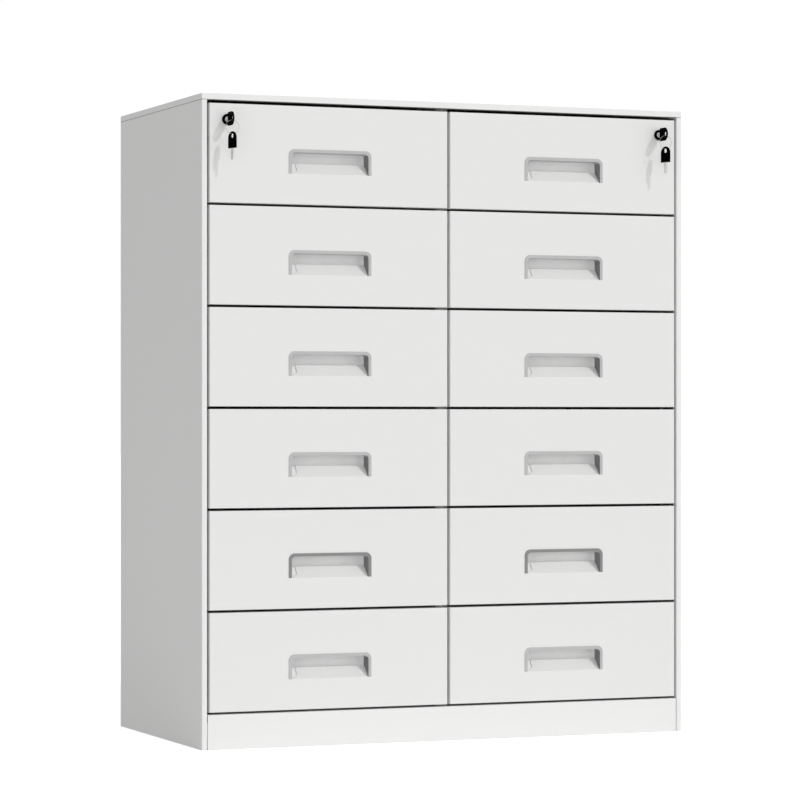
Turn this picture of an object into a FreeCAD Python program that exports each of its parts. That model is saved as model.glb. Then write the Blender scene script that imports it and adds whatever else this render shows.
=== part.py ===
"""Microscope slide cabinet: two columns of six drawers in a folded sheet-steel carcass.

Millimetres, +Z up, +X to the right and +Y to the back. Everything is drawn from the
front plane (y = 0) and the floor (z = 0), in the left column, and mirrored for the
right one. On export the model moves forward by half its depth, so that its origin
is the centre of the footprint, on the floor.
"""

import FreeCAD, Part
import os
from math import atan2, cos, pi, sin, sqrt, tan

from FreeCAD import Vector

# Overall size
width = 900.0
depth = 450.0
height = 1100.0
rows = 6

# Sheet metal
panel_sheet = 1.0
box_sheet = 0.8
bracket_sheet = 1.2
inner_bend = 0.6
edge_round = 1.5
seam_round = 0.8
cut_over = 2.0

# Front: what shows of the carcass, and the gaps round the drawer fronts
cap_height = 10.5
plinth_height = 58.6
return_width = 9.7
return_lip = 12.0
top_gap = 5.5
row_gap = 4.3
bottom_gap = 3.8
side_gap = 4.1
centre_gap = 4.8
seam_gap = 0.5
plinth_gap = 1.2

# Carcass
cap_lip = 14.0
side_flange = 15.0
back_inset = 1.0
deck_drop = 1.0
deck_flange = 15.0
plinth_top_flange = 20.0
plinth_foot_flange = 15.0
partition_width = 24.0
partition_rear_gap = 6.0
partition_notch_gap = 0.5
rail_width = 40.0
rail_foot = 12.0
rail_sheet = 1.5
post_height = 11.0
post_width = 30.0
post_foot = 10.0
post_clear = 24.0
post_back_space = 35.0

# Drawer fronts and trays
front_depth = 30.0
front_lip = 8.0
skin_margin = 2.0
front_clear = 1.2
tray_floor_space = 6.0
tray_top_space = 49.0
tray_back_space = 16.0
tray_hem = 6.0
lanes = 5
divider_height = 40.0
divider_sheet = 1.0
divider_clear = 0.2

# Runners
runner_space = 12.7
runner_rise = 20.0
runner_height = 35.0
runner_clear = 24.2
runner_tip_gap = 2.5
member_gap = 3.0
member_depth = 9.5
glide_height = 1.5
glide_length = 20.0
glide_side_gap = 0.6
glide_rear_space = 27.0
stop_gap = 0.5
stop_length = 2.5
stop_clear = 0.4
drawer_travel = 300.0

# Pull: the plastic cup, its inverted-U rim and the pressed tongue below it
pull_width = 150.5
pull_height = 41.5
pull_drop = 73.1
rim_width = 5.4
rim_proud = 1.0
rim_corner = 10.5
cup_depth = 22.5
cup_wall = 1.5
cup_corner = 6.2
cup_back_corner = 8.5
cup_fit = 0.2
tongue_depth = 17.5
tongue_rise = 18.8
tongue_inset = 11.5
tongue_side = 7.5
tongue_corner = 5.0
tongue_fit = 0.4
shelf_drop = 0.5

# Lock
lock_inset = 31.2
lock_drop = 27.0
lock_head_radius = 9.0
lock_head_proud = 2.5
lock_head_chamfer = 0.7
lock_body_radius = 8.0
lock_body_over = 0.2
lock_hole_fit = 0.1
nut_flat = 20.0
nut_height = 3.0
plug_radius = 4.7
plug_fit = 0.05
plug_recess = 0.5
cam_radius = 9.0
cam_thickness = 2.0
cam_clear = 0.3
pin_radius = 2.0
pin_length = 5.5
pin_throw = 6.4
pin_start_turn = 45.0

# Keys and ring
key_blade_thickness = 2.0
key_blade_height = 7.6
key_blade_length = 14.0
key_blade_tip = 2.5
key_side_fit = 0.1
key_edge_fit = 0.2
key_seat_fit = 0.5
key_neck = 3.5
bow_length = 28.0
bow_width = 23.0
bow_thickness = 2.4
bow_edge = 0.6
bow_shoulder = 1.0
bow_hole_radius = 4.25
bow_hole_inset = 7.4
key_notch_depth = 1.3
key_notch_pitch = 2.8
key_notches = 4
ring_radius = 11.6
ring_wire = 0.6
ring_gap = 0.4
spare_twist = 15.0

# Lock bar
bar_outer_gap = 4.2
bar_thickness = 3.0
bar_clear = 3.2
bar_depth = 14.0
bar_foot_gap = 0.3
bar_top_over = 6.0
arm_sheet = 2.0
arm_setback = 4.0
arm_edge = 4.0
slot_clear = 0.4
slot_end_clear = 0.6
hook_setback = 3.0
hook_sheet = 2.5
hook_height = 10.0
hook_play = 0.7
hook_drop = 0.8
hook_reach = 8.0
catch_radius = 3.0
catch_length = 11.0
catch_drop = 10.0
guide_sheet = 2.0
guide_wall = 2.5
guide_fit = 0.35
guide_drop = 32.0
guide_every = 2

# Screws
screw_radius = 2.0
screw_hole_fit = 0.1
screw_head_radius = 3.6
screw_head_height = 1.6
screw_head_round = 0.5
screw_length = 6.0
runner_screw_head = 1.2
cross_width = 0.8
cross_length = 4.0
cross_depth = 0.7
back_screw_end = 60.0
back_screws = 6
back_screw_inset = 9.0
cap_screws = 3

# Places that follow from the sizes above
half = width / 2
inner_face = half - panel_sheet
side_top = height - cap_height
return_edge = half - return_width
front_outer = return_edge - side_gap
front_inner = centre_gap / 2
front_width = front_outer - front_inner
front_centre = (front_outer + front_inner) / 2
fronts_top = side_top - top_gap
fronts_bottom = plinth_height + bottom_gap
front_height = (fronts_top - fronts_bottom - (rows - 1) * row_gap) / rows
pitch = front_height + row_gap
deck_top = plinth_height - deck_drop
back_face = depth - panel_sheet - back_inset
post_face = inner_face - post_height
partition_face = partition_width / 2
box_outer = post_face - runner_space
box_inner = partition_face + runner_space
skin_back = front_depth + box_sheet
box_back = back_face - tray_back_space
bay_front = skin_back + front_clear
bar_front = skin_back + bar_clear
hook_front = bar_front + hook_setback
post_front = bar_front + post_clear
runner_front = skin_back + runner_clear
lock_x = front_outer - lock_inset
lock_rise = front_height - lock_drop
lock_body_length = skin_back + nut_height + lock_body_over
top_front = fronts_bottom + (rows - 1) * pitch
lock_z = top_front + lock_rise
hole_y = -lock_head_proud - key_neck - bow_length + bow_hole_inset
tray_top = front_height - tray_top_space
catch_rise = tray_top - catch_drop
catch_y = hook_front + hook_sheet + hook_play + catch_radius
pull_top = front_height - pull_drop
pull_bottom = pull_top - pull_height
cup_half = pull_width / 2 - rim_width
cup_top = pull_top - rim_width
tongue_slope = tongue_rise / tongue_depth
tongue_foot = panel_sheet * sqrt(tongue_depth ** 2 + tongue_rise ** 2) / tongue_rise


def box(x_ends, y_ends, z_ends):
    """Block between two x, two y and two z values."""
    size = [ends[1] - ends[0] for ends in (x_ends, y_ends, z_ends)]
    return Part.makeBox(*size, Vector(x_ends[0], y_ends[0], z_ends[0]))


def shrunk(ends, by):
    """Two ends, each moved inwards."""
    return ends[0] + by, ends[1] - by


def rod(radius, start, along, length):
    """Cylinder from a point along a direction."""
    return Part.makeCylinder(radius, length, start, along)


def moved(shape, x=0, y=0, z=0):
    """Copy of a shape, moved."""
    copy = shape.copy()
    copy.translate(Vector(x, y, z))
    return copy


def mirrored(shape):
    """The same piece in the right-hand column."""
    return shape.mirror(Vector(0, 0, 0), Vector(1, 0, 0))


def fuse(*shapes):
    """One solid from touching or overlapping shapes."""
    whole = shapes[0].multiFuse(list(shapes[1:])).removeSplitter()
    return whole.Solids[0] if len(whole.Solids) == 1 else whole


def rounded(shape, radius, wanted):
    """Fillet the edges whose middle passes the test."""
    edges = [edge for edge in shape.Edges if wanted(edge.CenterOfMass)]
    return shape.makeFillet(radius, edges)


def close(a, b):
    """True where two lengths are the same, allowing for rounding."""
    return abs(a - b) < inner_bend / 10


def polygon(points):
    """Flat face through points given as vectors."""
    return Part.Face(Part.makePolygon(list(points) + [points[0]]))


def folded_face(path, sheet, side, place):
    """Section of a folded sheet along a 2D path.

    side is 1 where the sheet lies to the left of the path and -1 to the right;
    place turns a 2D point into a vector.
    """
    count = len(path)
    runs = []
    for (ax, ay), (bx, by) in zip(path, path[1:]):
        length = sqrt((bx - ax) ** 2 + (by - ay) ** 2)
        runs.append(((bx - ax) / length, (by - ay) / length))

    def offset(index, gap):
        x, y = path[index]
        before = runs[max(index - 1, 0)]
        after = runs[min(index, count - 2)]
        nx, ny = -before[1] - after[1], before[0] + after[0]
        scale = 2 * gap / (nx * nx + ny * ny)
        return x + nx * scale, y + ny * scale

    def line(gap, left_turn_radius, right_turn_radius):
        points = []
        for index in range(count):
            corner = offset(index, gap)
            if index in (0, count - 1):
                points.append((corner,))
                continue
            (ax, ay), (bx, by) = runs[index - 1], runs[index]
            turn = ax * by - ay * bx
            angle = atan2(turn, ax * bx + ay * by)
            radius = left_turn_radius if turn > 0 else right_turn_radius
            half_turn = abs(angle) / 2
            back = radius * tan(half_turn)
            inward = radius * (1 / cos(half_turn) - 1) / (2 * sin(half_turn))
            start = (corner[0] - ax * back, corner[1] - ay * back)
            middle = (corner[0] + (bx - ax) * inward, corner[1] + (by - ay) * inward)
            end = (corner[0] + bx * back, corner[1] + by * back)
            points.append((start, middle, end))
        return points

    # Where the path turns towards its sheet, the path's own line is outside the bend
    outside = inner_bend + sheet
    if side > 0:
        near = line(0, outside, inner_bend)
        far = line(sheet, inner_bend, outside)
    else:
        near = line(0, inner_bend, outside)
        far = line(-sheet, outside, inner_bend)
    far = [tuple(reversed(group)) for group in reversed(far)]
    groups = near + far
    edges = []
    for group, following in zip(groups, groups[1:] + groups[:1]):
        if len(group) == 3:
            edges.append(Part.Arc(*[place(*point) for point in group]).toShape())
        edges.append(Part.LineSegment(place(*group[-1]), place(*following[0])).toShape())
    return Part.Face(Part.Wire(edges))


def upright(path, sheet, side, z_ends):
    """Folded sheet whose section lies in XY."""
    face = folded_face(path, sheet, side, lambda a, b: Vector(a, b, z_ends[0]))
    return face.extrude(Vector(0, 0, z_ends[1] - z_ends[0]))


def lengthwise(path, sheet, side, y_ends):
    """Folded sheet whose section lies in XZ."""
    face = folded_face(path, sheet, side, lambda a, b: Vector(a, y_ends[0], b))
    return face.extrude(Vector(0, y_ends[1] - y_ends[0], 0))


def crosswise(path, sheet, side, x_ends):
    """Folded sheet whose section lies in YZ."""
    face = folded_face(path, sheet, side, lambda a, b: Vector(x_ends[0], a, b))
    return face.extrude(Vector(x_ends[1] - x_ends[0], 0, 0))


# Carcass


def top_panel():
    """Shallow lid with a lip all round its underside."""
    outer = box((-half, half), (0, depth), (side_top, height))

    def top_or_corner(middle):
        return close(middle.z, height) or side_top + seam_round < middle.z < height - seam_round

    outer = rounded(outer, edge_round, top_or_corner)
    outer = rounded(outer, seam_round, lambda middle: close(middle.z, side_top))
    inside = box((-inner_face, inner_face), (panel_sheet, depth - panel_sheet),
                 (side_top + panel_sheet, height - panel_sheet))
    opening = box((cap_lip - half, half - cap_lip), (cap_lip, depth - cap_lip),
                  (side_top - cut_over, side_top + cut_over))
    lid = outer.cut(inside).cut(opening)
    return lid.cut(Part.makeCompound([moved(drill, z=side_top) for drill in cap_screw_holes()]))


def side_panel():
    """Left side: front return with its lip, rear flange, and flanges at top and bottom."""
    path = [(-return_edge, return_lip), (-return_edge, 0), (-half, 0), (-half, depth),
            (-half + side_flange, depth)]
    panel = upright(path, panel_sheet, -1, (0, side_top))
    flange_x = (-inner_face - panel_sheet / 2, -half + side_flange)
    flange_back = back_face - seam_gap
    foot = box(flange_x, (plinth_foot_flange + seam_gap, flange_back), (0, panel_sheet))
    head = box(flange_x, (return_lip + seam_gap, flange_back), (side_top - panel_sheet, side_top))
    panel = fuse(panel, foot, head)

    def outer_top(middle):
        return close(middle.z, side_top) and close(middle.x, -half)

    panel = rounded(panel, seam_round, outer_top)
    panel = panel.cut(Part.makeCompound([moved(drill, z=side_top - panel_sheet)
                                         for drill in cap_screw_holes()]))
    return panel.cut(Part.makeCompound(back_screw_holes()))


def back_panel():
    """Flat sheet inside the sides' rear flanges, its edges clear of their bends."""
    edge = inner_face - inner_bend
    sheet = box((-edge, edge), (back_face, back_face + panel_sheet), (0, side_top))
    sheet = sheet.cut(Part.makeCompound(back_screw_holes()))
    return sheet.cut(Part.makeCompound([mirrored(drill) for drill in back_screw_holes()]))


def base_deck():
    """Cabinet floor, turned down at both sides."""
    low = deck_top - deck_flange
    path = [(-inner_face, low), (-inner_face, deck_top), (inner_face, deck_top), (inner_face, low)]
    return lengthwise(path, panel_sheet, -1, (return_lip + seam_gap, back_face))


def plinth():
    """Front kick plate between the side returns."""
    path = [(plinth_foot_flange, 0), (0, 0), (0, plinth_height), (plinth_top_flange, plinth_height)]
    end = return_edge - plinth_gap
    return crosswise(path, panel_sheet, -1, (-end, end))


def base_rail():
    """Centre rail that carries the partition down to the floor."""
    side = rail_width / 2
    top = deck_top - panel_sheet
    path = [(-side - rail_foot, top), (-side, top), (-side, rail_sheet), (side, rail_sheet),
            (side, top), (side + rail_foot, top)]
    return lengthwise(path, rail_sheet, -1, (plinth_top_flange + seam_gap, back_face))


def centre_partition():
    """Hollow upright between the columns, folded from one sheet and notched for the cap's rear lip."""
    path = [(partition_rear_gap / 2, back_face), (partition_face, back_face),
            (partition_face, bay_front), (-partition_face, bay_front),
            (-partition_face, back_face), (-partition_rear_gap / 2, back_face)]
    upright_sheet = upright(path, panel_sheet, -1, (deck_top, height - panel_sheet))
    notch = box((-partition_width, partition_width), (depth - cap_lip - partition_notch_gap, depth),
                (side_top - partition_notch_gap, height))
    return upright_sheet.cut(notch)


def hat_post(front):
    """Left-hand runner post, standing on the deck against the side panel."""
    floor_x = -inner_face
    web_x = -post_face - bracket_sheet
    back = front + post_width
    path = [(floor_x, back + post_foot), (floor_x, back), (web_x, back), (web_x, front),
            (floor_x, front), (floor_x, front - post_foot)]
    return upright(path, bracket_sheet, 1, (deck_top, side_top - panel_sheet))


def bar_ends():
    """x, y ends of the left lock bar's strip."""
    outer = -inner_face + bar_outer_gap
    return (outer, outer + bar_thickness), (bar_front, bar_front + bar_depth)


def bar_guides():
    """Ears on the left front post, each with a hole that the lock bar slides in."""
    bar_x, bar_y = bar_ends()
    hole_x = (bar_x[0] - guide_fit, bar_x[1] + guide_fit)
    hole_y_ends = (bar_y[0] - guide_fit, bar_y[1] + guide_fit)
    ears = []
    for row in range(0, rows - 1, guide_every):
        low = fronts_bottom + row * pitch + front_height - guide_drop
        levels = (low, low + guide_sheet)
        ear = box((-inner_face, -post_face - bracket_sheet / 2),
                  (hole_y_ends[0] - guide_wall, post_front), levels)
        hole = box(hole_x, hole_y_ends, (low - cut_over, low + guide_sheet + cut_over))
        ears.append(ear.cut(hole))
    return ears


def runner_posts():
    """Four posts; the front ones carry the lock bars' guides."""
    rear_start = back_face - post_back_space - post_width
    front_post = fuse(hat_post(post_front), *bar_guides())
    rear_post = hat_post(rear_start)
    left = [front_post, rear_post]
    return left + [mirrored(post) for post in left]


def runner_place(outer_side):
    """Turn (distance out from the tray, height) into x, z for one side of the left column."""
    if outer_side:
        return lambda out, up: (-box_outer - out, up)
    return lambda out, up: (-box_inner + out, up)


def cabinet_runner(outer_side, base):
    """Fixed channel, open towards the drawer, with its two stops."""
    place = runner_place(outer_side)
    turn = 1 if not outer_side else -1
    path = [place(runner_tip_gap, base), place(runner_space, base),
            place(runner_space, base + runner_height), place(runner_tip_gap, base + runner_height)]
    rear_stop_y = box_back + stop_gap
    end = rear_stop_y + bracket_sheet
    channel = lengthwise(path, bracket_sheet, turn, (runner_front, end))
    outs = sorted(place(out, 0)[0] for out in (runner_tip_gap, runner_space - bracket_sheet / 2))
    rear_stop = box(outs, (rear_stop_y, end),
                    (base + bracket_sheet / 2, base + runner_height - bracket_sheet / 2))
    stop_end = box_back - glide_length - drawer_travel - stop_gap
    stop_outs = sorted(place(out, 0)[0] for out in (runner_tip_gap + glide_side_gap,
                                                    member_depth - glide_side_gap))
    member_top = base + runner_height - member_gap
    front_stop = box(stop_outs, (stop_end - stop_length, stop_end),
                     (member_top + stop_clear, base + runner_height - bracket_sheet / 2))
    channel = fuse(channel, rear_stop, front_stop)
    return channel.cut(Part.makeCompound(runner_screw_holes(outer_side, base)))


def cabinet_runners():
    """The fixed channels of every drawer."""
    left = []
    for row in range(rows):
        base = fronts_bottom + row * pitch + runner_rise
        left += [cabinet_runner(True, base), cabinet_runner(False, base)]
    return left + [mirrored(runner) for runner in left]


def runner_glides():
    """Nylon blocks in the floor of each fixed channel, front and rear."""
    left = []
    rear = box_back - glide_rear_space - glide_length
    for row in range(rows):
        base = fronts_bottom + row * pitch + runner_rise + bracket_sheet
        for outer_side in (True, False):
            place = runner_place(outer_side)
            outs = sorted(place(out, 0)[0] for out in (runner_tip_gap + glide_side_gap,
                                                       runner_space - bracket_sheet - inner_bend))
            for start in (runner_front, rear):
                left.append(box(outs, (start, start + glide_length), (base, base + glide_height)))
    return left + [mirrored(glide) for glide in left]


# Screws


def screw(head_radius, head_height, length):
    """Pan-head screw along +Z, its head above z = 0 and a cross in the head."""
    head = rod(head_radius, Vector(0, 0, 0), Vector(0, 0, 1), head_height)
    head = rounded(head, screw_head_round, lambda middle: close(middle.z, head_height))
    for a, b in ((cross_length / 2, cross_width / 2), (cross_width / 2, cross_length / 2)):
        head = head.cut(box((-a, a), (-b, b), (head_height - cross_depth, head_height + cut_over)))
    shank = rod(screw_radius, Vector(0, 0, -length), Vector(0, 0, 1), length)
    return fuse(head, shank)


def turned(shape, along, place):
    """Stand a piece drawn along +Z along another direction, and move it to a place."""
    copy = shape.copy()
    copy.Placement = FreeCAD.Placement(place, FreeCAD.Rotation(Vector(0, 0, 1), along))
    return copy


def back_screw_places():
    """Rear flange screws on the left side."""
    step = (side_top - 2 * back_screw_end) / (back_screws - 1)
    x = -half + back_screw_inset
    return [Vector(x, depth, back_screw_end + index * step) for index in range(back_screws)]


def back_screw_holes():
    """Cutters for the left rear flange and the back panel."""
    radius = screw_radius + screw_hole_fit
    return [rod(radius, place - Vector(0, screw_length, 0), Vector(0, 1, 0), screw_length + cut_over)
            for place in back_screw_places()]


def cap_screw_places():
    """Screws up through the left side's head flange into the cap's lip."""
    step = depth / (cap_screws + 1)
    x = -half + back_screw_inset
    return [Vector(x, (index + 1) * step, side_top - panel_sheet) for index in range(cap_screws)]


def cap_screw_holes():
    """Cutters through both sheets at z = 0, left and right."""
    radius = screw_radius + screw_hole_fit
    cutters = []
    for place in cap_screw_places():
        for x in (place.x, -place.x):
            low = Vector(x, place.y, -cut_over)
            cutters.append(rod(radius, low, Vector(0, 0, 1), panel_sheet + 2 * cut_over))
    return cutters


def runner_screw_places(outer_side, base):
    """One screw into each post, or into the partition at the same depths."""
    rear_start = back_face - post_back_space - post_width
    web = runner_place(outer_side)(runner_space - bracket_sheet, base + runner_height / 2)
    return [Vector(web[0], start + post_width / 2, web[1]) for start in (post_front, rear_start)]


def runner_screw_holes(outer_side, base):
    """Cutters through a fixed channel's web."""
    out = Vector(-1 if outer_side else 1, 0, 0)
    radius = screw_radius + screw_hole_fit
    return [rod(radius, place - out * cut_over, out, bracket_sheet + cut_over)
            for place in runner_screw_places(outer_side, base)]


def carcass_screws():
    """Back, cap and runner screws."""
    pan = screw(screw_head_radius, screw_head_height, screw_length)
    cap = screw(screw_head_radius, screw_head_height, 2 * panel_sheet)
    # A runner's screw ends flush with the web: the tapped post or partition behind stays whole
    low = screw(screw_head_radius, runner_screw_head, bracket_sheet)
    left = [turned(pan, Vector(0, 1, 0), place) for place in back_screw_places()]
    left += [turned(cap, Vector(0, 0, -1), place) for place in cap_screw_places()]
    for row in range(rows):
        base = fronts_bottom + row * pitch + runner_rise
        for outer_side in (True, False):
            inward = Vector(1 if outer_side else -1, 0, 0)
            left += [turned(low, inward, place) for place in runner_screw_places(outer_side, base)]
    return left + [mirrored(piece) for piece in left]


# Drawer fronts, drawn with the front's lower edge at z = 0


def upper_corners(shape, radius, top, side):
    """Round the two corners at the top of a plate or a pocket, seen from the front."""
    return rounded(shape, radius,
                   lambda middle: close(middle.z, top) and close(abs(middle.x), side))


def back_corners(shape, radius, back, side):
    """Round the two upright corners at the back of a plate or a pocket."""
    return rounded(shape, radius,
                   lambda middle: close(middle.y, back) and close(abs(middle.x), side))


def along_x(points, side):
    """Prism between -side and side, from a section of y, z points."""
    return polygon([Vector(-side, y, z) for y, z in points]).extrude(Vector(2 * side, 0, 0))


def tongue():
    """Sheet pressed in below the recess: a ramp that narrows from its root to round shoulders."""
    root_half = cup_half - tongue_fit
    end_half = root_half - tongue_inset
    top = pull_bottom + tongue_rise
    shoulder = top - tongue_corner - tongue_side
    plate = along_x(((0, pull_bottom), (tongue_foot, pull_bottom),
                     (tongue_depth, top - tongue_foot * tongue_slope), (tongue_depth, top)), root_half)
    outline = polygon([Vector(x, -cut_over, z) for x, z in
                       ((-root_half, pull_bottom), (root_half, pull_bottom), (end_half, shoulder),
                        (end_half, top), (-end_half, top), (-end_half, shoulder))])
    outline = outline.extrude(Vector(0, cut_over + cup_depth, 0))
    return plate.common(upper_corners(outline, tongue_corner, top, end_half))


def front_pan(with_lock):
    """Folded pan: face, four flanges, a lip at the back and the pressed tongue."""
    side = front_width / 2
    outer = box((-side, side), (0, front_depth), (0, front_height))
    outer = rounded(outer, edge_round, lambda middle: close(middle.y, 0))
    inside = box((-side + panel_sheet, side - panel_sheet), (panel_sheet, front_depth - panel_sheet),
                 (panel_sheet, front_height - panel_sheet))
    inside = rounded(inside, inner_bend, lambda middle: close(middle.y, panel_sheet))
    back_opening = box((-side + front_lip, side - front_lip),
                       (front_depth - cut_over, front_depth + cut_over),
                       (front_lip, front_height - front_lip))
    mouth_side = cup_half + cup_wall + cup_fit
    mouth = box((-mouth_side, mouth_side), (-cut_over, panel_sheet + cut_over),
                (pull_bottom, cup_top + cup_wall + cup_fit))
    pan = outer.cut(inside).cut(back_opening).cut(mouth)
    pan = fuse(pan, tongue())
    if with_lock:
        pan = pan.cut(lock_hole())
    return pan


def lock_hole():
    """Cutter for the barrel, in the front's own frame."""
    x = -front_width / 2 + lock_inset
    return rod(lock_body_radius + lock_hole_fit, Vector(x, -cut_over, lock_rise), Vector(0, 1, 0),
               front_depth + 2 * cut_over)


def front_skin(with_lock):
    """Inner skin that closes the pan, with a window for the cup."""
    side = front_width / 2 - skin_margin
    skin = box((-side, side), (front_depth, skin_back), (skin_margin, front_height - skin_margin))
    if with_lock:
        skin = skin.cut(lock_hole())
    return skin


def drawer_front(row):
    """Pan and inner skin of the left drawer of a row."""
    with_lock = row == rows - 1
    x, z = -front_centre, fronts_bottom + row * pitch
    return [moved(front_pan(with_lock), x=x, z=z), moved(front_skin(with_lock), x=x, z=z)]


def drawer_pull(row):
    """Moulded cup with a ramped floor under the tongue and an inverted-U rim that lies on the front."""
    cup_outer = cup_half + cup_wall
    back = cup_depth + cup_wall
    # The ramped floor runs parallel to the tongue, then level to the back
    foot = tongue_foot * (1 + tongue_fit / panel_sheet)
    shelf_rise = tongue_rise - shelf_drop
    shelf = pull_bottom + shelf_rise
    under_foot = foot + tongue_foot * cup_wall / panel_sheet
    shell = box((-cup_outer, cup_outer), (0, back), (pull_bottom, cup_top + cup_wall))
    pocket = along_x(((-cut_over, pull_bottom), (foot, pull_bottom),
                      (foot + shelf_rise / tongue_slope, shelf), (cup_depth, shelf),
                      (cup_depth, cup_top), (-cut_over, cup_top)), cup_half)
    block = box((-cup_half, cup_half), (-cut_over, cup_depth), (pull_bottom, cup_top))
    pocket = pocket.common(upper_corners(block, cup_corner, cup_top, cup_half))
    pocket = pocket.common(back_corners(block, cup_back_corner, cup_depth, cup_half))
    hollow = along_x(((under_foot, pull_bottom - cut_over), (under_foot, pull_bottom),
                      (under_foot + (shelf_rise - cup_wall) / tongue_slope, shelf - cup_wall),
                      (back + cut_over, shelf - cup_wall), (back + cut_over, pull_bottom - cut_over)),
                     cup_half)
    rim = box((-pull_width / 2, pull_width / 2), (-rim_proud, 0), (pull_bottom, pull_top))
    rim = upper_corners(rim, rim_corner, pull_top, pull_width / 2)
    rim = rounded(rim, rim_proud / 2, lambda middle: close(middle.y, -rim_proud))
    cup = fuse(shell, rim).cut(pocket).cut(hollow)
    return [moved(cup, x=-front_centre, z=fronts_bottom + row * pitch)]


# Drawer boxes


def tray(base):
    """Open-topped box with a hem turned inwards round its top."""
    x_ends = (-box_outer, -box_inner)
    y_ends = (skin_back, box_back)
    z_ends = (base + tray_floor_space, base + tray_top)
    outer = box(x_ends, y_ends, z_ends)
    inside = box(shrunk(x_ends, box_sheet), shrunk(y_ends, box_sheet), shrunk(z_ends, box_sheet))
    mouth = box(shrunk(x_ends, tray_hem), shrunk(y_ends, tray_hem),
                (z_ends[1] - cut_over, z_ends[1] + cut_over))
    return outer.cut(inside).cut(mouth)


def dividers(base):
    """Plates that part the tray into lanes, one slide wide."""
    low = base + tray_floor_space + box_sheet
    clear = box_outer - box_inner - 2 * box_sheet
    lane = (clear - (lanes - 1) * divider_sheet) / lanes
    plates = []
    for index in range(1, lanes):
        x = -box_outer + box_sheet + index * lane + (index - 1) * divider_sheet
        plates.append(box((x, x + divider_sheet),
                          (skin_back + box_sheet + divider_clear, box_back - box_sheet - divider_clear),
                          (low, low + divider_height)))
    return plates


def drawer_member(outer_side, base):
    """Sliding channel on the tray's side, with the nylon glide on its rear end."""
    place = runner_place(outer_side)
    low = base + runner_rise + member_gap
    high = base + runner_rise + runner_height - member_gap
    turn = 1 if outer_side else -1
    path = [place(member_depth, low), place(0, low), place(0, high), place(member_depth, high)]
    channel = lengthwise(path, bracket_sheet, turn, (runner_front, box_back))
    outs = sorted(place(out, 0)[0] for out in (runner_tip_gap + glide_side_gap,
                                               member_depth - glide_side_gap))
    glide = box(outs, (box_back - glide_length, box_back), (high, high + glide_height))
    return [channel, glide]


def catch_pin(base):
    """Pin on the tray's outer side that the lock bar's hook holds."""
    start = Vector(-box_outer, catch_y, base + catch_rise)
    return rod(catch_radius, start, Vector(-1, 0, 0), catch_length)


def drawer_box(row):
    """Tray, dividers, sliding channels and catch pin of the left drawer of a row."""
    base = fronts_bottom + row * pitch
    pieces = [tray(base)] + dividers(base)
    pieces += drawer_member(True, base) + drawer_member(False, base)
    return pieces + [catch_pin(base)]


# Locks, drawn about the lock's axis with the drawer's face at y = 0


def lock_barrel():
    """Ringed barrel through the front, and its nut."""
    head = rod(lock_head_radius, Vector(0, -lock_head_proud, 0), Vector(0, 1, 0), lock_head_proud)
    head = head.makeChamfer(lock_head_chamfer, [edge for edge in head.Edges
                                                if close(edge.CenterOfMass.y, -lock_head_proud)])
    body = rod(lock_body_radius, Vector(0, 0, 0), Vector(0, 1, 0), lock_body_length)
    bore = rod(plug_radius + plug_fit, Vector(0, -lock_head_proud - cut_over, 0), Vector(0, 1, 0),
               lock_body_length + lock_head_proud + 2 * cut_over)
    barrel = fuse(head, body).cut(bore)
    corner = nut_flat / 2 / cos(pi / 6)
    turns = [pi / 3 * index for index in range(6)]
    outline = polygon([Vector(corner * cos(turn), skin_back, corner * sin(turn)) for turn in turns])
    nut = outline.extrude(Vector(0, nut_height, 0))
    nut = nut.cut(rod(lock_body_radius + plug_fit, Vector(0, skin_back - cut_over, 0), Vector(0, 1, 0),
                      nut_height + 2 * cut_over))
    return [barrel, nut]


def lock_plug():
    """Plug with a keyway, and the cam that carries the eccentric pin."""
    front = -lock_head_proud + plug_recess
    cam_y = lock_body_length + cam_clear
    core = rod(plug_radius, Vector(0, front, 0), Vector(0, 1, 0), cam_y - front)
    cam = rod(cam_radius, Vector(0, cam_y, 0), Vector(0, 1, 0), cam_thickness)
    turn = pin_start_turn / 180 * pi
    pin_place = Vector(-pin_throw * sin(turn), cam_y + cam_thickness, -pin_throw * cos(turn))
    pin = rod(pin_radius, pin_place, Vector(0, 1, 0), pin_length)
    keyway = box((-key_blade_thickness / 2 - key_side_fit, key_blade_thickness / 2 + key_side_fit),
                 (front - cut_over, key_blade_length + key_seat_fit),
                 (-key_blade_height / 2 - key_edge_fit, key_blade_height / 2 + key_edge_fit))
    return [fuse(core, cam, pin).cut(keyway)]


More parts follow.
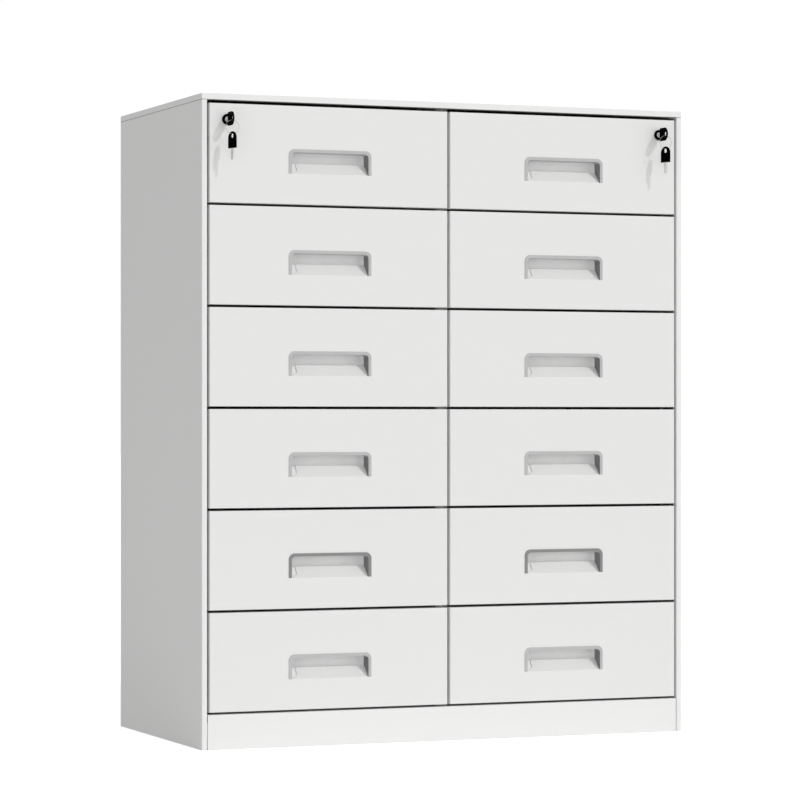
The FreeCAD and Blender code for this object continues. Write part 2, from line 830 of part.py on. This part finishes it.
def key():
    """Bow with a straight inner edge, a half-round outer end and a hole, and a notched blade."""
    back = -lock_head_proud - key_neck
    side = bow_width / 2
    end_centre = back - bow_length + side
    bow = box((-bow_thickness / 2, bow_thickness / 2), (end_centre, back), (-side, side))
    bow = fuse(bow, rod(side, Vector(-bow_thickness / 2, end_centre, 0), Vector(1, 0, 0), bow_thickness))
    bow = rounded(bow, bow_shoulder, lambda middle: close(middle.y, back) and close(abs(middle.z), side))
    bow = rounded(bow, bow_edge, lambda middle: close(abs(middle.x), bow_thickness / 2))
    hole = rod(bow_hole_radius, Vector(-bow_thickness / 2 - cut_over, hole_y, 0), Vector(1, 0, 0),
               bow_thickness + 2 * cut_over)
    bow = bow.cut(hole)
    half_blade = key_blade_height / 2
    outline = [Vector(-key_blade_thickness / 2, y, z) for y, z in
               ((back, -half_blade), (back, half_blade), (key_blade_length - key_blade_tip, half_blade),
                (key_blade_length, 0), (key_blade_length - key_blade_tip, -half_blade))]
    blade = polygon(outline).extrude(Vector(key_blade_thickness, 0, 0))
    for index in range(key_notches):
        y = key_blade_length - key_blade_tip - (index + 1) * key_notch_pitch
        notch = polygon([Vector(-key_blade_thickness, y, half_blade - key_notch_depth),
                         Vector(-key_blade_thickness, y - key_notch_depth, half_blade),
                         Vector(-key_blade_thickness, y + key_notch_depth, half_blade)])
        blade = blade.cut(notch.extrude(Vector(2 * key_blade_thickness, 0, 0)))
    return [bow, blade]


def ring_centre_z():
    """Centre of the key ring below the lock's axis, its wire clear of the hole's edge."""
    return -bow_hole_radius + ring_wire + ring_gap - ring_radius


def key_ring():
    """Wire ring through the bows of both keys."""
    return [Part.makeTorus(ring_radius, ring_wire, Vector(0, hole_y, ring_centre_z()), Vector(0, 1, 0))]


def spare_key():
    """The second key, hanging from the ring with its blade down."""
    wire = Vector(0, hole_y, ring_centre_z() - ring_radius)
    hole_z = wire.z + ring_wire + ring_gap - bow_hole_radius
    pieces = []
    for piece in key():
        copy = piece.copy()
        copy.rotate(Vector(0, hole_y, 0), Vector(1, 0, 0), -90)
        copy.translate(Vector(0, 0, hole_z))
        copy.rotate(wire, Vector(0, 0, 1), spare_twist)
        pieces.append(copy)
    return pieces


# Lock bars


def lock_bar():
    """Left-hand bar: strip, a slotted arm that reaches the lock, and a hook for each drawer."""
    bar_x, bar_y = bar_ends()
    turn = pin_start_turn / 180 * pi
    pin_z = lock_z - pin_throw * cos(turn)
    slot_up = pin_radius + slot_clear
    arm_z = (pin_z - slot_up - arm_edge, pin_z + slot_up + arm_edge)
    strip = box(bar_x, bar_y, (deck_top + bar_foot_gap, arm_z[1] + bar_top_over))
    slot_half = pin_throw + pin_radius + slot_end_clear
    arm_front = bar_front + arm_setback
    arm_y = (arm_front, arm_front + arm_sheet)
    arm = box((bar_x[1], -lock_x + slot_half + arm_edge), arm_y, arm_z)
    slot = box((-lock_x - slot_half, -lock_x + slot_half), shrunk(arm_y, -cut_over),
               (pin_z - slot_up, pin_z + slot_up))
    pieces = [strip, arm.cut(slot)]
    # Hooks and arm are welded on: each ends at the strip's inner face
    hook_x = (bar_x[1], -box_outer - catch_length + hook_reach)
    for row in range(rows):
        catch_z = fronts_bottom + row * pitch + catch_rise
        hook_top = catch_z - catch_radius - hook_drop
        pieces.append(box(hook_x, (hook_front, hook_front + hook_sheet), (hook_top - hook_height, hook_top)))
    return pieces


# Files


def save(node, solids):
    """Write one node, moved so that the origin is the centre of the footprint."""
    placed = [moved(solid, y=-depth / 2) for solid in solids]
    shape = placed[0] if len(placed) == 1 else Part.makeCompound(placed)
    shape.exportStep("parts/" + node + ".step")


def at_lock(solids, side):
    """Move pieces drawn about the lock's axis to the left (-1) or right (1) lock."""
    return [moved(solid, x=side * lock_x, z=lock_z) for solid in solids]


def main():
    os.makedirs("parts", exist_ok=True)
    left_side = side_panel()
    save("top_panel", [top_panel()])
    save("left_side_panel", [left_side])
    save("right_side_panel", [mirrored(left_side)])
    save("back_panel", [back_panel()])
    save("base_deck", [base_deck()])
    save("plinth", [plinth()])
    save("base_rail", [base_rail()])
    save("centre_partition", [centre_partition()])
    save("runner_posts", runner_posts())
    save("cabinet_runners", cabinet_runners())
    save("runner_glides", runner_glides())
    save("carcass_screws", carcass_screws())

    for row in range(rows):
        makers = (("drawer_front", drawer_front), ("drawer_box", drawer_box), ("drawer_pull", drawer_pull))
        for name, make in makers:
            left = make(row)
            save("%s_left_%d" % (name, row + 1), left)
            save("%s_right_%d" % (name, row + 1), [mirrored(solid) for solid in left])

    left_bar = lock_bar()
    save("lock_bar_left", left_bar)
    save("lock_bar_right", [mirrored(solid) for solid in left_bar])
    for name, side in (("left", -1), ("right", 1)):
        save("lock_barrel_" + name, at_lock(lock_barrel(), side))
        save("lock_plug_" + name, at_lock(lock_plug(), side))
        save("key_" + name, at_lock(key(), side))
        save("key_ring_" + name, at_lock(key_ring(), side))
        save("spare_key_" + name, at_lock(spare_key(), side))


main()
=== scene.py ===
"""Looks of the slide cabinet: materials, split key rings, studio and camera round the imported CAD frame.

Metres, in the row frame: the floor is z = 0, the drawers open towards -Y.
"""

import math

import bmesh
import bpy
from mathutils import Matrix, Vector


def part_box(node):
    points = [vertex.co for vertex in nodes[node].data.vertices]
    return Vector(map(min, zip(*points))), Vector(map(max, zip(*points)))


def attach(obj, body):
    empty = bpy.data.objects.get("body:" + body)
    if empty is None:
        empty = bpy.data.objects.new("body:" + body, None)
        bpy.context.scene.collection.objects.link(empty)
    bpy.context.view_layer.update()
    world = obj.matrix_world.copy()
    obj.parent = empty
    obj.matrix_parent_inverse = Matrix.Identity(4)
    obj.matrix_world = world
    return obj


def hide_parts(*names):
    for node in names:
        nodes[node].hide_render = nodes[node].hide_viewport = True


MM = 0.001

# Counts and sizes of the part, by which faces are sorted; the rows are counted from the bottom
ROWS = 6
# The pull rims of this row get a darker copy of the rim plastic: painted shade for how the light falls on
# them
SHADED_TRIM_ROW = 2
CATCH_REACH = 11.0 * MM
RUNNER_REACH = 9.5 * MM
BOW_LENGTH = 28.0 * MM
CAM_GAP = 0.1 * MM
SORTING_MARGIN = 0.05 * MM
FACING_SHARE = 0.5
ROOF_SHARE = 0.7

# Painted shade in the seam under the cap: a dark band in the coat standing in for the groove's shadow
SEAM_SHADE_WIDTH = 0.9 * MM
SEAM_SHADE_SHARE = 0.8
SEAM_SHADE_COLOUR = (0.30, 0.30, 0.29)

# Split rings
CAD_RING_WIRE = 0.6 * MM
RING_WIRE = 0.25 * MM
RING_JOG = 0.5
RING_STEPS = 144
WIRE_SIDES = 10

# Colour sockets of a Mix node
MIX_A = 6
MIX_B = 7
MIX_RESULT = 2

# Usual spread of a noise
NOISE_LOW = 0.3
NOISE_HIGH = 0.7

# Floor, surround and sun
FLOOR_REACH = 40.0
FLOOR_LIGHT = 0.26
FLOOR_SEEN = 0.72
UNDER_SHADE_SHARE = 0.45
BACKDROP = 1.02
PATCH_DIRECTION = (0.30, -0.95, 0.10)
PATCH_EDGE = 0.5
PATCH_LIGHT = 1.56
SURROUND_LIGHT = 0.49
SUN_DIRECTION = (-0.72, 1.0, -1.0)
SUN_ENERGY = 0.80
SUN_DEGREES = 2.0

# Camera fitted to the photograph
CAMERA_PLACE = (-2.175, -5.237, 0.557)
CAMERA_TURN = 21.53
FOCAL_PIXELS = 3167.0
CENTRE_PIXEL = (342.1, 417.41)
FRAME_PIXELS = 800.0
SENSOR = 36.0
NEAREST = 0.1
FARTHEST = 200.0

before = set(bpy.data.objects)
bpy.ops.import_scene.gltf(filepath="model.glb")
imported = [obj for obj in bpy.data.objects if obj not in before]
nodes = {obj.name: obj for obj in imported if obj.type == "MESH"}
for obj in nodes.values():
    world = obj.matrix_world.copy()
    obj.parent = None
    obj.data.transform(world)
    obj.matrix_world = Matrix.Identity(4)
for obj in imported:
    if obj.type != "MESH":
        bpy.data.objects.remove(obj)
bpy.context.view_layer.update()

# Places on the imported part
side_low, side_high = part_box("left_side_panel")
half_width = -side_low.x
half_depth = side_high.y
face_y = side_low.y
seam_z = side_high.z
tray_low, tray_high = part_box("drawer_box_right_1")
tray_outer_x = tray_high.x - CATCH_REACH + SORTING_MARGIN
tray_inner_x = tray_low.x + RUNNER_REACH - SORTING_MARGIN
skin_back_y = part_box("drawer_front_left_1")[1].y - SORTING_MARGIN
cam_front_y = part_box("lock_barrel_left")[1].y + CAM_GAP
rim_back_y = face_y + SORTING_MARGIN
key_back_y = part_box("key_left")[0].y + BOW_LENGTH


# Node helpers


class Recipe:
    """A material and short calls for the nodes that feed its shader."""

    def __init__(self, name, **uniform):
        self.material = bpy.data.materials.new(name)
        self.material.use_nodes = True
        self.tree = self.material.node_tree
        self.shader = self.tree.nodes["Principled BSDF"]
        for socket, value in uniform.items():
            self.shader.inputs[socket.replace("_", " ")].default_value = value
        self.place = self.tree.nodes.new("ShaderNodeTexCoord").outputs["Object"]

    def node(self, kind, inputs=(), **settings):
        """New node; inputs are (socket, value or output) pairs."""
        made = self.tree.nodes.new("ShaderNode" + kind)
        for key, value in settings.items():
            setattr(made, key, value)
        for socket, value in inputs:
            if isinstance(value, bpy.types.NodeSocket):
                self.tree.links.new(value, made.inputs[socket])
            else:
                made.inputs[socket].default_value = value
        return made

    def stretched(self, scale):
        """Place with each axis scaled."""
        return self.node("Mapping", [("Vector", self.place), ("Scale", scale)]).outputs["Vector"]

    def noise(self, scale, detail=2.0, roughness=0.5, place=None):
        """Noise from 0 to 1; scale is in cycles per metre."""
        made = self.node("TexNoise", [("Vector", place or self.place), ("Scale", scale),
                                      ("Detail", detail), ("Roughness", roughness)])
        return made.outputs["Fac"]

    def cells(self, scale):
        """Distance to the nearest cell centre."""
        made = self.node("TexVoronoi", [("Vector", self.place), ("Scale", scale)])
        return made.outputs["Distance"]

    def span(self, source, low, high, start=0.0, end=1.0):
        """Maps start..end to low..high."""
        made = self.node("MapRange", [("Value", source), ("From Min", start), ("From Max", end),
                                      ("To Min", low), ("To Max", high)])
        return made.outputs["Result"]

    def swing(self, noise, low, high):
        """Maps a noise's usual spread to low..high."""
        return self.span(noise, low, high, NOISE_LOW, NOISE_HIGH)

    def maths(self, operation, a, b=0.0):
        """Result of one operation on a and b."""
        made = self.node("Math", [(0, a), (1, b)], operation=operation)
        return made.outputs["Value"]

    def mixed(self, share, a, b):
        """Colour from a to b by share; a and b are colours or outputs."""
        made = self.node("Mix", [("Factor", share)], data_type="RGBA")
        for socket, value in ((MIX_A, a), (MIX_B, b)):
            if isinstance(value, bpy.types.NodeSocket):
                self.tree.links.new(value, made.inputs[socket])
            else:
                made.inputs[socket].default_value = (*value, 1.0)
        return made.outputs[MIX_RESULT]

    def axis(self, letter):
        """One coordinate of the place."""
        return self.node("SeparateXYZ", [(0, self.place)]).outputs[letter]

    def feed(self, **outputs):
        """Links outputs to the shader's sockets."""
        for socket, output in outputs.items():
            self.tree.links.new(output, self.shader.inputs[socket.replace("_", " ")])

    def bump(self, height, strength, distance):
        """Bump from a height."""
        made = self.node("Bump", [("Height", height), ("Strength", strength), ("Distance", distance)])
        return made.outputs["Normal"]


# Materials


def shaded(colour, share):
    """The colour times a share, at most white."""
    return tuple(min(1.0, part * share) for part in colour)


def powder_coat(name, colour, streaks):
    """Satin powder coat: orange peel, slow changes of tone, and level streaks or a painted shade band along
    the seam.
    """
    recipe = Recipe(name, IOR=1.5)
    slow = recipe.swing(recipe.noise(2.6, detail=3.0), -0.012, 0.012)
    tone = slow
    if streaks:
        level = recipe.noise(1.0, detail=4.0, roughness=0.6, place=recipe.stretched((3.0, 3.0, 210.0)))
        tone = recipe.maths("ADD", slow, recipe.swing(level, -0.008, 0.008))
    lit = recipe.maths("ADD", tone, 0.5)
    coat = recipe.mixed(lit, shaded(colour, 0.94), shaded(colour, 1.06))
    if not streaks:
        # Painted shade: the coat darkens in a band about the seam under the cap, where the groove's shadow
        # falls
        off_seam = recipe.maths("ABSOLUTE", recipe.maths("SUBTRACT", recipe.axis("Z"), seam_z))
        dust_and_painted_shade = recipe.span(off_seam, SEAM_SHADE_SHARE, 0.0, start=SEAM_SHADE_WIDTH / 3, end=SEAM_SHADE_WIDTH)
        coat = recipe.mixed(dust_and_painted_shade, coat, SEAM_SHADE_COLOUR)
    recipe.feed(Base_Color=coat)
    recipe.feed(Roughness=recipe.swing(recipe.noise(70.0, detail=3.0), 0.40, 0.50))
    peel = recipe.noise(520.0, roughness=0.45)
    recipe.feed(Normal=recipe.bump(peel, strength=0.10, distance=0.12 * MM))
    return recipe.material


def zinc():
    """Zinc-plated sheet: drawn grain along Y and soft cloudy patches."""
    recipe = Recipe("zinc_steel", Metallic=1.0)
    cloud = recipe.noise(28.0, detail=4.0, roughness=0.6)
    grain = recipe.noise(1.0, detail=3.0, roughness=0.7, place=recipe.stretched((900.0, 30.0, 900.0)))
    dull = (0.56, 0.575, 0.60)
    bright = (0.68, 0.69, 0.70)
    recipe.feed(Base_Color=recipe.mixed(recipe.swing(cloud, 0.0, 1.0), dull, bright))
    both = recipe.maths("ADD", cloud, grain)
    recipe.feed(Roughness=recipe.span(both, 0.26, 0.46, start=2 * NOISE_LOW, end=2 * NOISE_HIGH))
    recipe.feed(Normal=recipe.bump(grain, strength=0.12, distance=0.05 * MM))
    return recipe.material


def nickel(name, colour, rough, metallic=1.0):
    """Nickel plate with fine turning marks."""
    recipe = Recipe(name, Metallic=metallic)
    fine = recipe.noise(1.0, detail=3.0, roughness=0.6, place=recipe.stretched((2200.0, 600.0, 2200.0)))
    spots = recipe.noise(160.0, detail=3.0)
    worn = recipe.span(spots, 0.0, 1.0, start=0.35, end=0.7)
    recipe.feed(Base_Color=recipe.mixed(worn, colour, shaded(colour, 0.86)))
    recipe.feed(Roughness=recipe.swing(fine, rough, rough + 0.14))
    recipe.feed(Normal=recipe.bump(fine, strength=0.08, distance=0.03 * MM))
    return recipe.material


def nylon():
    """Natural nylon, faintly cloudy."""
    recipe = Recipe("nylon", Subsurface_Weight=0.15, Subsurface_Scale=0.002, IOR=1.53)
    cloud = recipe.noise(120.0, detail=3.0)
    cream = (0.80, 0.79, 0.75)
    milk = (0.88, 0.87, 0.84)
    recipe.feed(Base_Color=recipe.mixed(recipe.swing(cloud, 0.0, 1.0), cream, milk))
    recipe.feed(Roughness=recipe.swing(recipe.noise(300.0), 0.38, 0.52))
    return recipe.material


def pull_plastic(name, colour):
    """Fine-grained moulded plastic."""
    recipe = Recipe(name, IOR=1.49)
    cloud = recipe.swing(recipe.noise(40.0, detail=3.0), 0.0, 1.0)
    recipe.feed(Base_Color=recipe.mixed(cloud, shaded(colour, 0.97), shaded(colour, 1.03)))
    recipe.feed(Roughness=recipe.swing(recipe.noise(900.0), 0.46, 0.62))
    recipe.feed(Normal=recipe.bump(recipe.cells(1900.0), strength=0.22, distance=0.06 * MM))
    return recipe.material


def black_gloss(name, colour, rough, grain_scale, grain):
    """Black enamel or moulded plastic with faint unevenness and a little dust."""
    recipe = Recipe(name, IOR=1.5, Specular_IOR_Level=0.006)
    patches = recipe.noise(420.0, detail=4.0, roughness=0.65)
    dust_and_painted_shade = recipe.span(patches, 0.0, 1.0, start=0.52, end=0.78)
    recipe.feed(Base_Color=recipe.mixed(dust_and_painted_shade, colour, shaded(colour, 1.8)))
    recipe.feed(Roughness=recipe.swing(recipe.noise(260.0, detail=3.0), rough, rough + 0.12))
    recipe.feed(Normal=recipe.bump(recipe.noise(grain_scale), strength=grain, distance=0.05 * MM))
    return recipe.material


MATERIALS = {
    "carcass_coat": powder_coat("carcass_coat", (0.885, 0.885, 0.878), streaks=False),
    "drawer_coat": powder_coat("drawer_coat", (0.85, 0.85, 0.843), streaks=True),
    "zinc_steel": zinc(),
    "nylon": nylon(),
    "pull_rim": pull_plastic("pull_rim", (0.53, 0.53, 0.53)),
    # The darker rim copy is the same grey plastic painted darker as shade
    "pull_rim_painted_shade": pull_plastic("pull_rim_painted_shade", (0.26, 0.26, 0.26)),
    # The recess's side walls get the pull plastic painted much darker: painted shade for the shadow in the
    # recess
    "pull_wall_painted_shade": pull_plastic("pull_wall_painted_shade", (0.22, 0.22, 0.22)),
    # The recess back is white, and its colour is set lighter than the drawer coat as painted light to lift
    # its shade
    "cup_back": pull_plastic("cup_back", (0.93, 0.93, 0.925)),
    "cup_roof": pull_plastic("cup_roof", (0.50, 0.50, 0.50)),
    "lock_black": black_gloss("lock_black", (0.0012, 0.0012, 0.0012),
                              rough=0.32, grain_scale=900.0, grain=0.06),
    "key_black": black_gloss("key_black", (0.001, 0.001, 0.001),
                             rough=0.42, grain_scale=2400.0, grain=0.12),
    "lock_nickel": nickel("lock_nickel", (0.95, 0.945, 0.93), rough=0.42, metallic=0.2),
    "ring_steel": nickel("ring_steel", (0.62, 0.615, 0.60), rough=0.45),
    "key_blade": nickel("key_blade", (0.84, 0.83, 0.81), rough=0.30),
}


def dress(node, *names, choose=None):
    """Gives a CAD node its materials; choose maps a face to the index of one."""
    mesh = nodes[node].data
    mesh.materials.clear()
    for name in names:
        mesh.materials.append(MATERIALS[name])
    for face in mesh.polygons:
        face.material_index = choose(face) if choose else 0


def beyond_tray(face):
    """1 for what is fixed to the tray's sides, 0 for the tray and its dividers."""
    side = abs(face.center.x)
    return int(side > tray_outer_x or side < tray_inner_x)


def pull_zone(face):
    """0 for the rim, 1 for the recess's side walls, which get painted shade, 2 for its back and floor, 3 for
    its roof.
    """
    if face.center.y < rim_back_y:
        return 0
    if face.normal.y < -FACING_SHARE or face.normal.z > FACING_SHARE:
        return 2
    return 3 if face.normal.z < -ROOF_SHARE else 1


def behind(y):
    """Chooser of 1 for a face behind y and 0 before it."""
    return lambda face: int(face.center.y > y)


for name in ("top_panel", "left_side_panel", "right_side_panel", "back_panel", "base_deck", "plinth",
             "base_rail", "centre_partition"):
    dress(name, "carcass_coat")
for name in ("runner_posts", "cabinet_runners", "carcass_screws"):
    dress(name, "zinc_steel")
dress("runner_glides", "nylon")
for side in ("left", "right"):
    for row in range(1, ROWS + 1):
        tag = f"{side}_{row}"
        dress(f"drawer_front_{tag}", "drawer_coat")
        dress(f"drawer_box_{tag}", "drawer_coat", "zinc_steel", choose=beyond_tray)
        rim = "pull_rim_painted_shade" if row == SHADED_TRIM_ROW else "pull_rim"
        dress(f"drawer_pull_{tag}", rim, "pull_wall_painted_shade", "cup_back", "cup_roof", choose=pull_zone)
    dress(f"lock_barrel_{side}", "lock_black", "zinc_steel", choose=behind(skin_back_y))
    dress(f"lock_plug_{side}", "lock_nickel", "zinc_steel", choose=behind(cam_front_y))
    dress(f"key_{side}", "key_black", "key_blade", choose=behind(key_back_y))
    blade_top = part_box(f"spare_key_{side}")[1].z - BOW_LENGTH
    dress(f"spare_key_{side}", "key_black", "key_blade", choose=lambda face: int(face.center.z < blade_top))
    dress(f"lock_bar_{side}", "zinc_steel")


# Split rings


def split_ring(side):
    """Two turns of wire side by side, with a jog between them, in the place of the plain ring."""
    low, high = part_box(f"key_ring_{side}")
    centre = (low + high) / 2
    radius = (high.x - low.x) / 2 - CAD_RING_WIRE
    full = 2 * math.pi
    ring = bmesh.new()
    loops = []
    for step in range(RING_STEPS + 1):
        turn = RING_JOG + (2 * full - 2 * RING_JOG) * step / RING_STEPS
        share = min(max((turn - full + RING_JOG) / (2 * RING_JOG), 0.0), 1.0)
        shift = RING_WIRE * (2 * share * share * (3 - 2 * share) - 1)
        out = Vector((-math.cos(turn), 0.0, math.sin(turn)))
        middle = centre + out * radius + Vector((0.0, shift, 0.0))
        loop = []
        for corner in range(WIRE_SIDES):
            angle = full * corner / WIRE_SIDES
            offset = out * math.cos(angle) + Vector((0.0, math.sin(angle), 0.0))
            loop.append(ring.verts.new(middle + offset * RING_WIRE))
        loops.append(loop)
    for before, after in zip(loops, loops[1:]):
        for corner in range(WIRE_SIDES):
            following = (corner + 1) % WIRE_SIDES
            ring.faces.new((before[corner], before[following], after[following], after[corner]))
    ring.faces.new(loops[0][::-1])
    ring.faces.new(loops[-1])
    bmesh.ops.recalc_face_normals(ring, faces=ring.faces)
    mesh = bpy.data.meshes.new(f"split_ring_{side}")
    ring.to_mesh(mesh)
    ring.free()
    mesh.shade_smooth()
    mesh.materials.append(MATERIALS["ring_steel"])
    piece = bpy.data.objects.new(f"split_ring_{side}", mesh)
    bpy.context.scene.collection.objects.link(piece)
    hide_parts(f"key_ring_{side}")
    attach(piece, f"key_ring_{side}")


split_ring("left")
split_ring("right")


# Studio


def studio_floor():
    """Wide pale floor with a lit sweep's glow, painted weaker under the cabinet as shade, and weaker as
    light than as seen.
    """
    low, high = -FLOOR_REACH, FLOOR_REACH
    mesh = bpy.data.meshes.new("floor")
    mesh.from_pydata([(low, low, 0), (high, low, 0), (high, high, 0), (low, high, 0)], [], [(0, 1, 2, 3)])
    floor = bpy.data.objects.new("floor", mesh)
    bpy.context.scene.collection.objects.link(floor)
    recipe = Recipe("floor", Emission_Color=(1.0, 1.0, 1.0, 1.0))
    seen = recipe.node("LightPath").outputs["Is Camera Ray"]
    # Painted shade: the floor's glow is cut down under the cabinet's footprint
    beside = recipe.maths("GREATER_THAN", recipe.maths("ABSOLUTE", recipe.axis("X")), half_width - MM)
    before = recipe.maths("GREATER_THAN", recipe.maths("ABSOLUTE", recipe.axis("Y")), half_depth - MM)
    open_floor = recipe.span(recipe.maths("MAXIMUM", beside, before), UNDER_SHADE_SHARE, 1.0)
    glow = recipe.span(seen, FLOOR_LIGHT, FLOOR_SEEN)
    recipe.feed(Emission_Strength=recipe.maths("MULTIPLY", open_floor, glow))
    cloud = recipe.noise(0.8)
    recipe.feed(Base_Color=recipe.mixed(cloud, (0.69, 0.69, 0.69), (0.71, 0.71, 0.71)))
    recipe.feed(Roughness=recipe.span(recipe.noise(30.0), 0.75, 0.85))
    mesh.materials.append(recipe.material)


def studio_world():
    """Soft surround with a broad bright patch in front, a little to the right; plain white behind."""
    world = bpy.data.worlds.new("studio")
    world.use_nodes = True
    bpy.context.scene.world = world
    tree = world.node_tree
    tree.nodes.clear()

    def node(kind, **settings):
        made = tree.nodes.new("ShaderNode" + kind)
        for key, value in settings.items():
            setattr(made, key, value)
        return made

    place = node("TexCoord")
    frontal = node("VectorMath", operation="DOT_PRODUCT")
    frontal.inputs[1].default_value = Vector(PATCH_DIRECTION).normalized()
    spread = node("MapRange", interpolation_type="SMOOTHSTEP")
    for socket, value in (("From Min", PATCH_EDGE), ("From Max", 1.0),
                          ("To Min", SURROUND_LIGHT), ("To Max", PATCH_LIGHT)):
        spread.inputs[socket].default_value = value
    soft = node("Background")
    white = node("Background")
    white.inputs["Color"].default_value = (1.0, 1.0, 1.0, 1.0)
    white.inputs["Strength"].default_value = BACKDROP
    path = node("LightPath")
    pick = node("MixShader")
    out = node("OutputWorld")
    tree.links.new(place.outputs["Generated"], frontal.inputs[0])
    tree.links.new(frontal.outputs["Value"], spread.inputs["Value"])
    tree.links.new(spread.outputs["Result"], soft.inputs["Strength"])
    tree.links.new(path.outputs["Is Camera Ray"], pick.inputs[0])
    tree.links.new(soft.outputs[0], pick.inputs[1])
    tree.links.new(white.outputs[0], pick.inputs[2])
    tree.links.new(pick.outputs[0], out.inputs["Surface"])


def key_light():
    """Directional light from the upper right, for the soft shadows of locks and keys."""
    light = bpy.data.lights.new("key", "SUN")
    light.energy = SUN_ENERGY
    light.angle = math.radians(SUN_DEGREES)
    lamp = bpy.data.objects.new("key", light)
    lamp.rotation_mode = "QUATERNION"
    lamp.rotation_quaternion = Vector(SUN_DIRECTION).to_track_quat("-Z", "Y")
    bpy.context.scene.collection.objects.link(lamp)


def photo_camera():
    """Level camera whose shift keeps the uprights parallel, as in the photograph."""
    data = bpy.data.cameras.new("photo")
    data.sensor_width = SENSOR
    data.lens = FOCAL_PIXELS / FRAME_PIXELS * SENSOR
    data.shift_x = 0.5 - CENTRE_PIXEL[0] / FRAME_PIXELS
    data.shift_y = CENTRE_PIXEL[1] / FRAME_PIXELS - 0.5
    data.clip_start = NEAREST
    data.clip_end = FARTHEST
    camera = bpy.data.objects.new("photo", data)
    camera.location = CAMERA_PLACE
    camera.rotation_euler = (math.pi / 2, 0.0, -math.radians(CAMERA_TURN))
    bpy.context.scene.collection.objects.link(camera)
    bpy.context.scene.camera = camera


studio_floor()
studio_world()
key_light()
photo_camera()
bpy.context.scene.view_settings.view_transform = "Standard"
bpy.context.scene.view_settings.look = "None"
